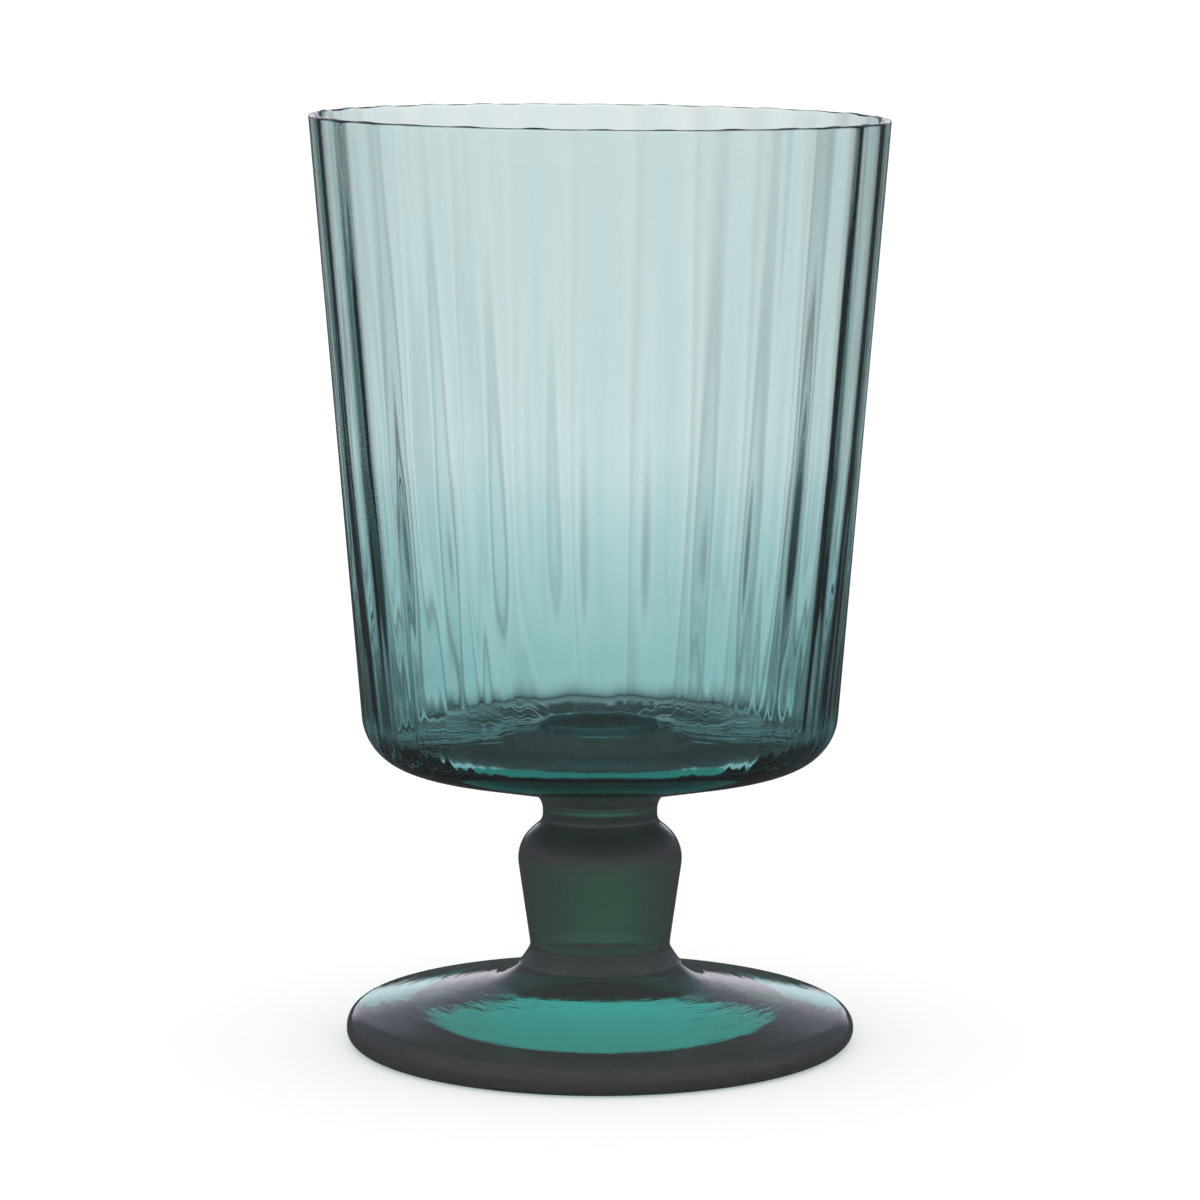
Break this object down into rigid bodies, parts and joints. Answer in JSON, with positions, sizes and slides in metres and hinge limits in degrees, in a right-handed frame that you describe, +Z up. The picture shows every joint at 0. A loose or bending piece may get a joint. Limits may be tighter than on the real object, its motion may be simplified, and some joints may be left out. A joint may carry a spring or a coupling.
{
  "type": "stemmed drinking glass",
  "caption": "Short-stemmed goblet of teal blown glass: tapered optic-ribbed bowl, collared baluster stem and broad round foot.",
  "frame": {"origin": "centre of the foot's resting ring, on the table", "axes": "+Z up along the goblet's axis, from the foot to the rim; X and Y are alike, a rib lies on -Y"},
  "size_m": [0.0866, 0.0866, 0.14],
  "materials": {
    "bowl_glass": "clear teal blown glass, fire-polished",
    "stem_glass": "clear teal blown glass, deep where it is thick",
    "foot_glass": "clear teal blown glass with fine tooling marks"
  },
  "bodies": {
    "root": {"bowl": "bowl_glass", "upper_collar": "stem_glass", "baluster_stem": "stem_glass", "lower_collar": "stem_glass", "foot": "foot_glass"}
  },
  "joints": []
}
